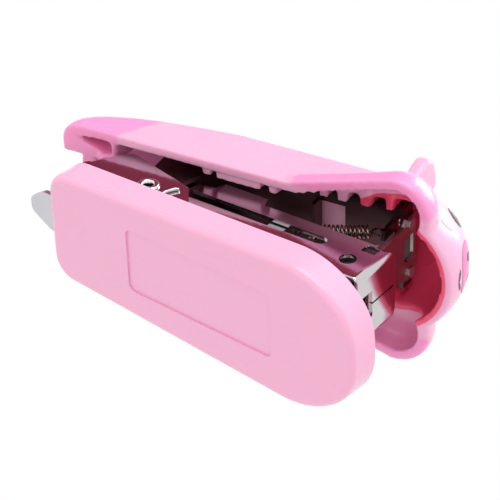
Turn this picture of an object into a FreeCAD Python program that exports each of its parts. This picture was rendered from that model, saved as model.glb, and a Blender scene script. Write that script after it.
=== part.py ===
import FreeCAD, Part
import math
import os
import re
import Sketcher

V = FreeCAD.Vector

# Frame: X runs from the hinge end to the nose, Y is across, Z is up.
# The origin is on the underside of the base, on the centre line, straight under the hinge pin.

doc = FreeCAD.newDocument("mini_stapler")
sheet = doc.addObject("Spreadsheet::Sheet", "Sizes")

# Driving dimensions, in millimetres and degrees.
SIZES = {
    # hinge and the two tilts of the resting mechanism
    "hinge_x": 0, "hinge_z": 8.1, "magazine_tilt": 4.9, "cover_tilt": 10.9,
    "pin_rad": 1.15, "pin_bore": 0.7, "pin_flange_rad": 1.9, "pin_flange": 0.45, "hinge_gap": 0.08,
    # base shell
    "base_rear": -13.7, "base_nose": 45.7, "base_rear_half": 9.3, "base_front_half": 12.25,
    "base_shoulder": 38.3,
    "base_tip_half": 5.5, "base_tall": 5.2, "base_wall": 1.35, "base_floor": 1.5,
    "rear_corner": 4.0, "shoulder_round": 14.0, "tip_round": 9.5, "base_edge": 1.1,
    "label_from": 2.7, "label_to": 31.0, "label_half": 5.5, "label_deep": 0.3,
    "label_corner": 1.2,
    "boss_rad": 2.4, "boss_rear": 9.5, "boss_front": 15.6,
    # base bracket, anvil and staple remover
    "steel": 0.7, "bracket_half": 7.9, "bracket_floor": 3.4, "bracket_rear": -9.8,
    "deck_from": 22.8, "deck_to": 39.5, "deck_tilt": 2.1, "deck_top": 5.6, "deck_flange": 1.5,
    "ear_top_rear": 13.8, "ear_top_front": 11.6, "ear_front": 5.1, "ear_foot": 8.3,
    "curl_rad": 1.2, "curl_x": -12.0, "curl_z": 7.2, "hook_hole_x": 3.5, "hook_hole_z": 7.4,
    "rivet_x": 28.3, "rivet_y": 5.0, "anvil_thick": 0.7,
    "groove_at": 37.9, "groove_wide": 1.1, "groove_deep": 0.4,
    "groove_in": 1.2, "groove_out": 4.4, "blade_thick": 0.8, "blade_low": 2.1, "blade_half": 3.3,
    "blade_tip": -20.1, "blade_tail": -0.7, "foot_rivet": -3.7,
    # magazine, in the magazine's own frame, which starts at the hinge pin
    "mag_half": 6.0, "mag_steel": 0.6, "mag_low": -1.3, "mag_top": 7.7, "mag_rear": -4.0,
    "mag_nose": 38.8, "nose_top": 8.4, "lug_rad": 2.5, "window_from": 3.0, "window_to": 29.5,
    "window_low": 3.4, "window_top": 5.4, "port_at": 34.5, "port_up": 2.5, "port_rad": 1.3,
    "slot_at": 36.0, "slot_up": 6.3, "slot_half": 1.2, "slot_tall": 0.9, "tab_from": 7.5,
    "tab_to": 15.5, "tab_top": 9.4, "exit_from": 35.4, "notch_half": 2.2, "notch_top": 2.4,
    "slit_half": 0.15, "rail_half": 4.15, "rail_steel": 0.5, "rail_from": 7.0, "rail_to": 36.1,
    "rail_top": 5.2, "wire": 0.5, "staple_half": 4.75, "staple_leg": 5.0, "staples_from": 23.9,
    "pusher_len": 5.0, "pusher_half": 5.15, "pusher_top": 6.9, "post_top": 10.0, "spring_y": -2.4,
    # cover, in the cover's own frame, which starts at the hinge pin
    "rim": 6.8, "cover_half": 10.5, "cover_tall": 11.3, "cover_wall": 1.7, "cover_rear": -20.5,
    "cover_edge": 3.2, "head_at": 36.4, "head_up": 9.8, "head_rad": 11.2, "paw_at": 38.0,
    "paw_side": 10.0, "paw_rad": 5.8, "leg_at": 20.4, "leg_side": 7.8, "leg_rad": 3.0,
    "paw_up": 1.4, "ear_at": 36.6, "ear_side": 8.8, "ear_up": 16.4, "ear_half": 3.2,
    "ear_thick": 2.7, "ear_long": 4.8, "ear_lean": 16.0,
    "block_front": -10.3, "lobe_in": 5.2, "rump_up": 10.4,
    # handle frame and driver, in the cover's own frame
    "frame_half": 7.1, "frame_top": 15.7, "frame_steel": 0.7, "frame_rear": -3.4,
    "frame_front": 36.6, "slope_from": 5.0, "slope_drop": 1.3, "frame_flange": 12.9,
    "driver_thick": 0.5, "driver_half": 4.7,
    "driver_low": 1.9, "hook_at": 33.4, "hook_low": 11.6, "spring_rad": 1.2, "spring_wire": 0.4,
}
for row, (alias, value) in enumerate(SIZES.items(), start=1):
    sheet.set(f"A{row}", alias)
    sheet.set(f"B{row}", str(value))
    sheet.setAlias(f"B{row}", alias)
doc.recompute()

WORDS = re.compile(r"\b(" + "|".join(SIZES) + r")\b")
PARTS = []


def cells(text):
    """An expression in plain aliases, as one that reads the sheet."""
    return WORDS.sub(r"Sizes.\1", str(text))


def number(text):
    """The present value of an expression in aliases."""
    found = sheet.evalExpression(cells(text))
    return float(getattr(found, "Value", found))


def keep(obj, node, frame="base"):
    """Names a finished sub-part, and stands it in the frame of the base, magazine or cover."""
    obj.Label = node
    if frame != "base":
        turn = FreeCAD.Rotation(V(0, -1, 0), number(frame + "_tilt"))
        obj.Placement = FreeCAD.Placement(V(number("hinge_x"), 0, number("hinge_z")), turn)
        if obj.TypeId != "Part::Feature":
            obj.setExpression(".Placement.Base.x", cells("hinge_x"))
            obj.setExpression(".Placement.Base.z", cells("hinge_z"))
            obj.setExpression(".Placement.Rotation.Angle", cells(frame + "_tilt"))
    PARTS.append(obj)
    return obj


def new_body(name):
    return doc.addObject("PartDesign::Body", name)


def plane_of(body, role):
    return next(f for f in body.Origin.OriginFeatures if f.Role == role)


def outline(body, role, corners, name):
    """A closed outline of straight runs on an origin plane. Each corner is bound to the sheet."""
    sketch = body.newObject("Sketcher::SketchObject", name)
    sketch.AttachmentSupport = (plane_of(body, role), "")
    sketch.MapMode = "FlatFace"
    spots = [(number(a), number(b)) for a, b in corners]
    count = len(spots)
    for i, spot in enumerate(spots):
        ahead = spots[(i + 1) % count]
        sketch.addGeometry(Part.LineSegment(V(*spot, 0), V(*ahead, 0)), False)
    for i in range(count):
        sketch.addConstraint(Sketcher.Constraint("Coincident", i, 2, (i + 1) % count, 1))
    for i, (corner, spot) in enumerate(zip(corners, spots)):
        for kind, text, value in zip(("DistanceX", "DistanceY"), corner, spot):
            k = sketch.addConstraint(Sketcher.Constraint(kind, -1, 1, i, 1, value))
            sketch.setExpression(f"Constraints[{k}]", cells(text))
    return sketch


def ring(body, role, across, up, radius, name):
    """A circle on an origin plane, bound to the sheet."""
    sketch = body.newObject("Sketcher::SketchObject", name)
    sketch.AttachmentSupport = (plane_of(body, role), "")
    sketch.MapMode = "FlatFace"
    x, y, r = number(across), number(up), number(radius)
    sketch.addGeometry(Part.Circle(V(x, y, 0), V(0, 0, 1), r), False)
    for kind, text, value in (("DistanceX", across, x), ("DistanceY", up, y)):
        k = sketch.addConstraint(Sketcher.Constraint(kind, -1, 1, 0, 3, value))
        sketch.setExpression(f"Constraints[{k}]", cells(text))
    k = sketch.addConstraint(Sketcher.Constraint("Radius", 0, r))
    sketch.setExpression(f"Constraints[{k}]", cells(radius))
    return sketch


def swept(body, kind, sketch, length, both=False, back=False):
    """A Pad or Pocket of a sketch, by a length bound to the sheet, about its plane or to one side."""
    before = body.Shape.Volume if body.Tip else 0.0
    feature = body.newObject("PartDesign::" + kind, kind)
    feature.Profile = sketch
    feature.SideType = "Symmetric" if both else "One side"
    feature.Reversed = back
    feature.setExpression("Length", cells(length))
    sketch.Visibility = False
    doc.recompute()
    gain = body.Shape.Volume - before
    if (gain <= 0) if kind == "Pad" else (gain >= 0):
        raise RuntimeError(f"{body.Name}: {kind} of {sketch.Name} changed the volume by {gain:.3f}")
    return feature


def pad(body, sketch, length, **side):
    return swept(body, "Pad", sketch, length, **side)


def cut(body, sketch, length, **side):
    return swept(body, "Pocket", sketch, length, **side)


def dressed(body, kind, chosen, **sizes):
    """A Fillet or Chamfer on the edges of the body that chosen() picks."""
    tip = body.Tip
    names = [f"Edge{i}" for i, edge in enumerate(body.Shape.Edges, start=1) if chosen(edge)]
    if not names:
        raise RuntimeError(f"{body.Name}: no edge for the {kind}")
    feature = body.newObject("PartDesign::" + kind, kind)
    feature.Base = (tip, names)
    for prop, text in sizes.items():
        feature.setExpression(prop, cells(text))
    doc.recompute()
    return feature


def upright(edge, x, y, slack=0.2):
    """Whether an edge stands along Z at a place in plan."""
    mid = edge.CenterOfMass
    box = edge.BoundBox
    return box.ZLength > 0.25 and max(box.XLength, box.YLength) < 0.01 and (
        abs(mid.x - x) < slack and abs(abs(mid.y) - y) < slack)


def primitive(kind, name, at=("0", "0", "0"), turn=None, **sizes):
    """A Part primitive whose sizes and place are bound to the sheet."""
    obj = doc.addObject("Part::" + kind, name)
    for prop, text in sizes.items():
        obj.setExpression(prop, cells(text))
    if turn is not None:
        obj.Placement = FreeCAD.Placement(V(), FreeCAD.Rotation(*turn))
    for axis, text in zip("xyz", at):
        obj.setExpression(".Placement.Base." + axis, cells(text))
    return obj


def block(name, low, high):
    """A box between two corners, each given as three expressions."""
    size = {p: f"({b}) - ({a})" for p, a, b in zip(("Length", "Width", "Height"), low, high)}
    return primitive("Box", name, low, **size)


def fused(name, *shapes):
    obj = doc.addObject("Part::MultiFuse", name)
    obj.Shapes = list(shapes)
    obj.Refine = True
    return obj


def less(name, base, tool):
    obj = doc.addObject("Part::Cut", name)
    obj.Base, obj.Tool = base, tool
    obj.Refine = True
    return obj


ACROSS = (V(1, 0, 0), -90)      # turns a primitive's own Z to +Y


def across_pin(name, x, z, radius, half):
    """A cylinder along Y, as long each side of the centre plane as half."""
    return primitive("Cylinder", name, (x, f"-({half})", z), ACROSS,
                     Radius=radius, Height=f"2 * ({half})")


def upright_pin(name, x, y, low, high, radius):
    return primitive("Cylinder", name, (x, y, low), Radius=radius, Height=f"({high}) - ({low})")


# ---------------------------------------------------------------- base shell
def base_shell():
    body = new_body("base_shell_body")
    half = [("base_rear", "base_rear_half"), ("base_shoulder", "base_front_half"),
            ("base_nose", "base_tip_half")]
    plan = [(x, f"-({y})") for x, y in half] + half[::-1]
    pad(body, outline(body, "XY_Plane", plan, "base_plan"), "base_tall")
    for x, y, radius in (("base_rear", "base_rear_half", "rear_corner"),
                         ("base_shoulder", "base_front_half", "shoulder_round"),
                         ("base_nose", "base_tip_half", "tip_round")):
        px, py = number(x), number(y)
        dressed(body, "Fillet", lambda e: upright(e, px, py), Radius=radius)
    drawn_in = {"base_rear": "base_rear + base_wall", "base_nose": "base_nose - base_wall"}
    hollow = [(drawn_in.get(x, x), f"{y} - base_wall") for x, y in half]
    hollow = [(x, f"-({y})") for x, y in hollow] + hollow[::-1]
    room = outline(body, "XY_Plane", hollow, "tray")
    room.setExpression(".AttachmentOffset.Base.z", cells("base_floor"))
    cut(body, room, "base_tall", back=True)
    for x, y, radius in (("base_rear + base_wall", "base_rear_half", "rear_corner"),
                         ("base_shoulder", "base_front_half", "shoulder_round"),
                         ("base_nose - base_wall", "base_tip_half", "tip_round")):
        px, py = number(x), number(y + " - base_wall")
        dressed(body, "Fillet", lambda e: upright(e, px, py), Radius=radius + " - base_wall")
    dressed(body, "Fillet", lambda e: e.BoundBox.ZMax < 0.01, Radius="base_edge")
    label = [("label_from", "-label_half"), ("label_to", "-label_half"),
             ("label_to", "label_half"), ("label_from", "label_half")]
    cut(body, outline(body, "XY_Plane", label, "label"), "label_deep", back=True)
    for x in ("label_from", "label_to"):
        px, py = number(x), number("label_half")
        dressed(body, "Fillet", lambda e: upright(e, px, py), Radius="label_corner")
    slot = [("base_rear - 1", "blade_low - 0.1"), ("base_rear + 5", "blade_low - 0.1"),
            ("base_rear + 5", "blade_low + blade_thick + 0.1"),
            ("base_rear - 1", "blade_low + blade_thick + 0.1")]
    cut(body, outline(body, "XZ_Plane", slot, "remover_slot"), "2 * blade_half + 0.4", both=True)
    for i, x in enumerate(("boss_rear", "boss_front")):
        boss = ring(body, "XY_Plane", x, "0", "boss_rad", f"boss_{i}")
        boss.setExpression(".AttachmentOffset.Base.z", cells("base_floor - 0.5"))
        pad(body, boss, "bracket_floor - 0.02 - base_floor + 0.5")
        hole = ring(body, "XY_Plane", x, "0", "0.95", f"boss_hole_{i}")
        hole.setExpression(".AttachmentOffset.Base.z", cells("bracket_floor - 1.6"))
        cut(body, hole, "3", back=True)
    return keep(body, "base_shell")


# ---------------------------------------------------------------- steel in the base
def rivet_holes(body):
    """The two holes for the rivets of the anvil plate."""
    for i, sign in enumerate(("", "-")):
        hole = ring(body, "XY_Plane", "rivet_x", sign + "rivet_y", "0.82", f"deck_hole_{i}")
        cut(body, hole, "12", back=True)


def base_bracket():
    """A pressed steel bracket: a floor, two hinge ears, a curled rear edge and a raised deck."""
    body = new_body("base_bracket_body")
    deck_in = "deck_top - (deck_to - deck_from) * tan(deck_tilt * 1deg)"
    side = [("bracket_rear", "bracket_floor"), ("deck_from - 4", "bracket_floor"),
            ("deck_from", f"{deck_in} - deck_flange"), ("deck_to", "deck_top - deck_flange"),
            ("deck_to", "deck_top"), ("deck_from", deck_in),
            ("deck_from - 3", "bracket_floor + 3.6"), ("ear_foot + 1.5", "bracket_floor + 3"),
            ("ear_front", "ear_top_front"), ("bracket_rear + 1.5", "ear_top_rear"),
            ("bracket_rear", "ear_top_rear - 1.5"), ("curl_x + 0.2", "curl_z + 1"),
            ("curl_x + 0.2", "curl_z - 1"), ("bracket_rear", "curl_z - 1.8")]
    pad(body, outline(body, "XZ_Plane", side, "side_form"), "2 * bracket_half", both=True)
    inner = [("bracket_rear - 4", "bracket_floor + steel"), ("deck_from - 4.3", "bracket_floor + steel"),
             ("deck_from - 0.5", f"{deck_in} + 0.02"), ("deck_to + 1", "deck_top + 0.1"),
             ("deck_to + 1", "20"), ("bracket_rear - 4", "20")]
    cut(body, outline(body, "XZ_Plane", inner, "inside"), "2 * (bracket_half - steel)", both=True)
    under = [("deck_from - 4", "bracket_floor - 1"), ("deck_from - 0.2", f"{deck_in} - steel"),
             ("deck_to + 1", "deck_top - steel + 0.02"), ("deck_to + 1", "bracket_floor - 1")]
    cut(body, outline(body, "XZ_Plane", under, "under_deck"), "2 * (bracket_half - steel)",
        both=True)
    cut(body, ring(body, "XZ_Plane", "hinge_x", "hinge_z", "pin_rad + 0.02", "hinge_holes"),
        "4 * bracket_half", both=True)
    cut(body, ring(body, "XZ_Plane", "hook_hole_x", "hook_hole_z", "0.45", "spring_hole"),
        "4 * bracket_half", both=True)
    for i, x in enumerate(("boss_rear", "boss_front")):
        cut(body, ring(body, "XY_Plane", x, "0", "0.9", f"screw_hole_{i}"), "10", back=True)
    cut(body, ring(body, "XY_Plane", "foot_rivet", "0", "1.0", "rivet_hole"), "10", back=True)
    rivet_holes(body)
    curl = less("curl", across_pin("curl_out", "curl_x", "curl_z", "curl_rad", "bracket_half - 0.3"),
                across_pin("curl_in", "curl_x", "curl_z", "curl_rad - 0.5", "bracket_half + 1"))
    return keep(fused("bracket_with_curl", body, curl), "base_bracket")


def anvil_plate():
    """The hardened plate on the deck, with the two grooves that fold a staple's legs."""
    body = new_body("anvil_plate_body")
    deck_in = "deck_top - (deck_to - deck_from) * tan(deck_tilt * 1deg)"
    side = [("deck_from", deck_in), ("deck_to", "deck_top"),
            ("deck_to", "deck_top + anvil_thick"), ("deck_from", f"{deck_in} + anvil_thick")]
    pad(body, outline(body, "XZ_Plane", side, "anvil_side"), "2 * bracket_half", both=True)
    for name, sign in (("left", "1"), ("right", "-1")):
        low, high = f"{sign} * groove_in", f"{sign} * groove_out"
        spots = [("groove_at - groove_wide / 2", low), ("groove_at + groove_wide / 2", low),
                 ("groove_at + groove_wide / 2", high), ("groove_at - groove_wide / 2", high)]
        sketch = outline(body, "XY_Plane", spots, f"{name}_groove")
        sketch.AttachmentOffset.Base = V()
        sketch.setExpression(".AttachmentOffset.Base.z",
                             cells("deck_top + anvil_thick - groove_deep"))
        cut(body, sketch, "2", back=True)
    rivet_holes(body)
    dressed(body, "Fillet", lambda e: upright(e, number("deck_to"), number("bracket_half")),
            Radius="1.2")
    return keep(body, "anvil_plate")


def anvil_rivets():
    rivets = []
    for i, sign in enumerate(("", "-")):
        spot = ("rivet_x", sign + "rivet_y")
        shank = upright_pin(f"anvil_shank_{i}", *spot, "deck_top - 1.6", "deck_top + 0.26", "0.8")
        tail = upright_pin(f"anvil_tail_{i}", *spot, "deck_top - 1.9", "deck_top - 1.2", "1.3")
        rivets.append(fused(f"anvil_rivet_{i}", shank, tail))
    group = doc.addObject("Part::Compound", "anvil_rivet_pair")
    group.Links = rivets
    return keep(group, "anvil_rivets")


def bracket_screws():
    screws = []
    for i, x in enumerate(("boss_rear", "boss_front")):
        shank = upright_pin(f"screw_shank_{i}", x, "0", "bracket_floor - 1.4",
                            "bracket_floor + steel + 0.3", "0.85")
        head = primitive("Cone", f"screw_head_{i}", (x, "0", "bracket_floor + steel"),
                         Radius1="1.7", Radius2="1.3", Height="0.8")
        cross = fused(f"screw_cross_{i}",
                      block(f"cross_a_{i}", (f"{x} - 0.9", "-0.15", "bracket_floor + steel + 0.4"),
                            (f"{x} + 0.9", "0.15", "bracket_floor + 3")),
                      block(f"cross_b_{i}", (f"{x} - 0.15", "-0.9", "bracket_floor + steel + 0.4"),
                            (f"{x} + 0.15", "0.9", "bracket_floor + 3")))
        screws.append(less(f"screw_{i}", fused(f"screw_blank_{i}", shank, head), cross))
    group = doc.addObject("Part::Compound", "bracket_screw_pair")
    group.Links = screws
    return keep(group, "bracket_screws")


def remover_blade():
    """A flat steel tongue that lifts a staple's crown, with a round tip behind the base."""
    body = new_body("remover_blade_body")
    plan = [("blade_tip + 3", "-blade_half"), ("blade_tail", "-blade_half"),
            ("blade_tail", "blade_half"), ("blade_tip + 4.2", "blade_half"),
            ("blade_tip", "1"), ("blade_tip", "-1.4")]
    sketch = outline(body, "XY_Plane", plan, "blade_plan")
    sketch.setExpression(".AttachmentOffset.Base.z", cells("blade_low"))
    pad(body, sketch, "blade_thick")
    tip = number("blade_tip")
    dressed(body, "Fillet", lambda e: upright(e, tip, 1.2, 0.6), Radius="1.6")
    dressed(body, "Fillet", lambda e: upright(e, tip + 3.6, 3.3, 1.0), Radius="2.2")
    cut(body, ring(body, "XY_Plane", "foot_rivet", "0", "1.0", "blade_rivet_hole"), "10", back=True)
    return keep(body, "remover_blade")


def remover_rivet():
    shank = upright_pin("remover_shank", "foot_rivet", "0", "blade_low - 0.3",
                        "bracket_floor + steel + 0.2", "0.96")
    head = primitive("Cone", "remover_head", ("foot_rivet", "0", "bracket_floor + steel"),
                     Radius1="1.7", Radius2="1.0", Height="0.7")
    foot = upright_pin("remover_foot", "foot_rivet", "0", "base_floor + 0.05", "blade_low", "1.6")
    return keep(fused("remover_rivet_solid", shank, head, foot), "remover_rivet")


# ---------------------------------------------------------------- hinge
def in_cover(u, w, y=0.0):
    """A point of the cover's frame, in the model's frame."""
    a = math.radians(number("cover_tilt"))
    return V(number("hinge_x") + u * math.cos(a) - w * math.sin(a), y,
             number("hinge_z") + u * math.sin(a) + w * math.cos(a))


def in_magazine(u, v, y=0.0):
    """A point of the magazine's frame, in the model's frame."""
    a = math.radians(number("magazine_tilt"))
    return V(number("hinge_x") + u * math.cos(a) - v * math.sin(a), y,
             number("hinge_z") + u * math.sin(a) + v * math.cos(a))


def hinge_pin():
    reach = "bracket_half + pin_flange"
    solid = fused("pin_solid",
                  across_pin("pin_shank", "hinge_x", "hinge_z", "pin_rad", reach),
                  primitive("Cylinder", "flange_right", ("hinge_x", f"-({reach})", "hinge_z"),
                            ACROSS, Radius="pin_flange_rad", Height="pin_flange"),
                  primitive("Cylinder", "flange_left", ("hinge_x", "bracket_half", "hinge_z"),
                            ACROSS, Radius="pin_flange_rad", Height="pin_flange"))
    bore = across_pin("pin_hole", "hinge_x", "hinge_z", "pin_bore", "bracket_half + 2")
    return keep(less("hinge_pin_tube", solid, bore), "hinge_pin")


def hinge_sleeve():
    half = "mag_half - mag_steel - 0.1"
    return keep(less("sleeve_tube", across_pin("sleeve_out", "0", "0", "1.75", half),
                     across_pin("sleeve_in", "0", "0", "pin_rad + hinge_gap", "mag_half")),
                "hinge_sleeve", "magazine")


def round_wire(points, wire):
    """Wire of round section along straight runs, with a ball at each bend."""
    solids = []
    for a, b in zip(points, points[1:]):
        solids.append(Part.makeCylinder(wire / 2, (b - a).Length, a, b - a))
    solids += [Part.makeSphere(wire / 2, p) for p in points]
    return solids[0].fuse(solids[1:]).removeSplitter()


def coil(start, along, radius, wire, pitch, turns):
    """A helical wire of round section, from start along a direction."""
    helix = Part.makeHelix(pitch, pitch * turns, radius)
    section = Part.Wire(Part.Circle(V(radius, 0, 0), V(0, 1, pitch / (2 * math.pi * radius)),
                                    wire / 2).toShape())
    solid = Part.Wire(helix.Edges).makePipeShell([section], True, True)
    solid.Placement = FreeCAD.Placement(start, FreeCAD.Rotation(V(0, 0, 1), along))
    return solid


def return_spring():
    """A torsion spring on the hinge sleeve. One leg hooks through the bracket's ear."""
    wire, loop = 0.5, 2.35
    x, z = number("hinge_x"), number("hinge_z")
    inner = -number("mag_half - mag_steel") + 0.6
    low_y, high_y = inner, inner + 3 * (wire + 0.04)
    turns = [Part.makeTorus(loop, wire / 2, V(x, low_y + i * (wire + 0.04), z), V(0, 1, 0))
             for i in range(4)]
    hole_x, hole_z = number("hook_hole_x"), number("hook_hole_z")
    between = -number("bracket_half - steel") + 0.4
    outside = -number("bracket_half") - 0.35
    under = z - loop - 0.3
    hook = round_wire([V(x, high_y, z - loop), V(hole_x, high_y, under), V(hole_x, between, under),
                       V(hole_x, between, hole_z), V(hole_x, outside, hole_z),
                       V(hole_x + 0.5, outside, hole_z + 2.2)], wire)
    leg_end = number("frame_top - frame_steel - slope_drop") - 0.3
    leg = round_wire([V(x, low_y, z + loop), in_cover(-2.0, leg_end, low_y)], wire)
    obj = doc.addObject("Part::Feature", "return_spring_wire")
    obj.Shape = Part.makeCompound(turns + [hook, leg])
    return keep(obj, "return_spring")


# ---------------------------------------------------------------- magazine
def magazine_channel():
    """A folded steel channel: floor, two walls with windows, and a nose of two meeting flaps."""
    body = new_body("magazine_body")
    side = [("mag_rear", "mag_low - 0.8"), ("2.6", "mag_low - 0.8"), ("4.2", "mag_low"),
            ("mag_nose", "mag_low"), ("mag_nose", "nose_top"), ("mag_nose - 2", "nose_top"),
            ("mag_nose - 3", "mag_top"), ("tab_to + 0.6", "mag_top"), ("tab_to", "tab_top"),
            ("tab_from", "tab_top"), ("tab_from - 0.6", "mag_top"), ("mag_rear", "mag_top - 2")]
    pad(body, outline(body, "XZ_Plane", side, "wall_form"), "2 * mag_half", both=True)
    corner = (number("mag_nose"), number("mag_half"))
    dressed(body, "Fillet", lambda e: upright(e, *corner), Radius="1.1")
    low = number("mag_low")
    dressed(body, "Fillet", lambda e: e.BoundBox.XLength > 20 and e.BoundBox.ZMax < low + 0.01
            and e.BoundBox.YLength < 0.01, Radius="0.45")
    room = [("mag_rear - 1", "mag_low - 2"), ("4.2", "mag_low - 2"),
            ("4.2", "mag_low + mag_steel"), ("exit_from", "mag_low + mag_steel"),
            ("exit_from", "mag_low - 1"), ("mag_nose - mag_steel", "mag_low - 1"),
            ("mag_nose - mag_steel", "20"), ("mag_rear - 1", "20")]
    cut(body, outline(body, "XZ_Plane", room, "room"), "2 * (mag_half - mag_steel)", both=True)
    window = [("window_from + 1", "window_low"), ("window_to - 1", "window_low"),
              ("window_to - 0.3", "window_low + 0.3"), ("window_to", "window_low + 1"),
              ("window_to - 0.3", "window_top - 0.3"), ("window_to - 1", "window_top"),
              ("window_from + 1", "window_top"), ("window_from", "window_low + 1")]
    cut(body, outline(body, "XZ_Plane", window, "windows"), "4 * mag_half", both=True)
    cut(body, ring(body, "XZ_Plane", "port_at", "port_up", "port_rad", "round_ports"),
        "4 * mag_half", both=True)
    slot = [("slot_at - slot_half", "slot_up - slot_tall"), ("slot_at + slot_half", "slot_up - slot_tall"),
            ("slot_at + slot_half", "slot_up + slot_tall"), ("slot_at - slot_half", "slot_up + slot_tall")]
    cut(body, outline(body, "XZ_Plane", slot, "square_ports"), "4 * mag_half", both=True)
    cut(body, ring(body, "XZ_Plane", "0", "0", "pin_rad + hinge_gap", "hinge_hole"),
        "4 * mag_half", both=True)
    gap = [("-notch_half", "mag_low - 1"), ("notch_half", "mag_low - 1"), ("notch_half", "notch_top"),
           ("slit_half", "notch_top"), ("slit_half", "nose_top - 0.6"),
           ("-slit_half", "nose_top - 0.6"), ("-slit_half", "notch_top"), ("-notch_half", "notch_top")]
    sketch = outline(body, "YZ_Plane", gap, "nose_gap")
    sketch.setExpression(".AttachmentOffset.Base.z", cells("mag_nose - 1"))
    cut(body, sketch, "3", back=True)
    cut(body, ring(body, "XY_Plane", "5.7", "0", "0.75", "rail_hole"), "3")
    for name, sign in (("left", ""), ("right", "-")):
        spots = [(sign + "(mag_half + 0.1)", "nose_top - 1.6"), (sign + "(mag_half + 0.1)", "nose_top + 1"),
                 (sign + "(mag_half - 1.9)", "nose_top + 1"), (sign + "(mag_half - 1.9)", "nose_top"),
                 (sign + "(mag_half - 0.9)", "nose_top - 0.25"), (sign + "(mag_half - 0.3)", "nose_top - 0.8")]
        round_off = outline(body, "YZ_Plane", spots, f"{name}_flap_corner")
        round_off.setExpression(".AttachmentOffset.Base.z", cells("mag_nose - 2.5"))
        cut(body, round_off, "4", back=True)
    return keep(body, "magazine_channel", "magazine")


def staple_rail():
    """The inner core that the staples ride on, an upside-down channel on a rear foot."""
    body = new_body("staple_rail_body")
    floor = "mag_low + mag_steel"
    side = [("4.4", floor), ("rail_to", floor), ("rail_to", "rail_top"), ("rail_from", "rail_top"),
            ("rail_from", f"{floor} + rail_steel"), ("4.4", f"{floor} + rail_steel")]
    pad(body, outline(body, "XZ_Plane", side, "rail_form"), "2 * rail_half", both=True)
    room = [("rail_from + rail_steel", f"{floor} + rail_steel"),
            ("rail_to + 1", f"{floor} + rail_steel"), ("rail_to + 1", "rail_top - rail_steel"),
            ("rail_from + rail_steel", "rail_top - rail_steel")]
    cut(body, outline(body, "XZ_Plane", room, "rail_room"), "2 * (rail_half - rail_steel)",
        both=True)
    slot = [("rail_from + 4", floor + " - 1"), ("rail_to + 1", floor + " - 1"),
            ("rail_to + 1", f"{floor} + rail_steel + 0.1"), ("rail_from + 4", f"{floor} + rail_steel + 0.1")]
    cut(body, outline(body, "XZ_Plane", slot, "rail_slot"), "2 * (rail_half - rail_steel)", both=True)
    cut(body, ring(body, "XY_Plane", "5.7", "0", "0.75", "rivet_hole"), "3")
    return keep(body, "staple_rail", "magazine")


def rail_rivet():
    floor = "mag_low + mag_steel + rail_steel"
    shank = upright_pin("rail_shank", "5.7", "0", "mag_low - 0.2", f"{floor} + 0.2", "0.7")
    head = upright_pin("rail_head", "5.7", "0", floor, f"{floor} + 0.4", "1.2")
    foot = upright_pin("rail_foot", "5.7", "0", "mag_low - 0.4", "mag_low", "1.1")
    return keep(fused("rail_rivet_solid", shank, head, foot), "rail_rivet", "magazine")


def staples():
    """The strip of staples: each one a crown of wire with two legs."""
    wire, half = number("wire"), number("staple_half")
    crown = number("rail_top + 0.06 + wire")
    low = crown - number("staple_leg")
    count = int((number("rail_to") - number("staples_from")) / wire)
    one = Part.makeBox(wire - 0.02, 2 * half, crown - low, V(0, -half, low)).cut(
        Part.makeBox(wire, 2 * (half - wire), crown - low - wire + 1, V(0, wire - half, low - 1)))
    round_top = [e for e in one.Edges if e.BoundBox.ZMin > crown - 0.01 and e.BoundBox.XLength > 0.3]
    one = one.makeFillet(wire * 0.6, round_top)
    obj = doc.addObject("Part::Feature", "staple_strip")
    obj.Shape = Part.makeCompound([
        one.translated(V(number("staples_from") + i * wire, 0, 0)) for i in range(count)])
    return keep(obj, "staples", "magazine")


def pusher():
    """The follower: a saddle on the rail with two side feet and a post for the spring."""
    back = "staples_from - 0.1 - pusher_len"
    front = "staples_from - 0.1"
    saddle = block("saddle", (back, "-pusher_half", "0.2"), (front, "pusher_half", "pusher_top"))
    over = block("over_rail", (f"{back} - 1", "-rail_half - 0.12", "-1"),
                 (f"{front} + 1", "rail_half + 0.12", "rail_top + 0.12"))
    step = block("front_step", ("staples_from - 2.2", "-pusher_half - 1", "4.3"),
                 (f"{front} + 1", "pusher_half + 1", "pusher_top + 1"))
    post = upright_pin("post", f"{back} + 1.6", "spring_y", "pusher_top - 0.5", "post_top", "0.55")
    return keep(fused("pusher_solid", less("pusher_step", less("saddle_open", saddle, over), step),
                      post), "pusher", "magazine")


def pusher_spring():
    """The extension spring from the pusher's post up to the hook in the handle frame."""
    y, wire, radius = number("spring_y"), number("spring_wire"), number("spring_rad")
    rear = in_magazine(number("staples_from - 0.1 - pusher_len + 1.6"), number("post_top") - 0.8, y)
    front = in_cover(number("hook_at") - 0.4, number("hook_low") + 1.0, y)
    along = (front - rear).normalize()
    loop = 1.0
    start, end = rear + along * 2 * loop, front - along * 2 * loop
    pitch = wire * 1.35
    turns = int((end - start).Length / pitch)
    middle = coil(start, along, radius - wire / 2, wire, (end - start).Length / turns, turns)
    across = V(0, 1, 0)
    up = along.cross(across)
    eyes = [Part.makeTorus(loop + 0.2, wire / 2, rear + along * 0.15, up),
            Part.makeTorus(loop, wire / 2, front - along * (loop * 0.9), across)]
    obj = doc.addObject("Part::Feature", "pusher_spring_wire")
    obj.Shape = Part.makeCompound([middle] + eyes)
    return keep(obj, "pusher_spring")


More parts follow.
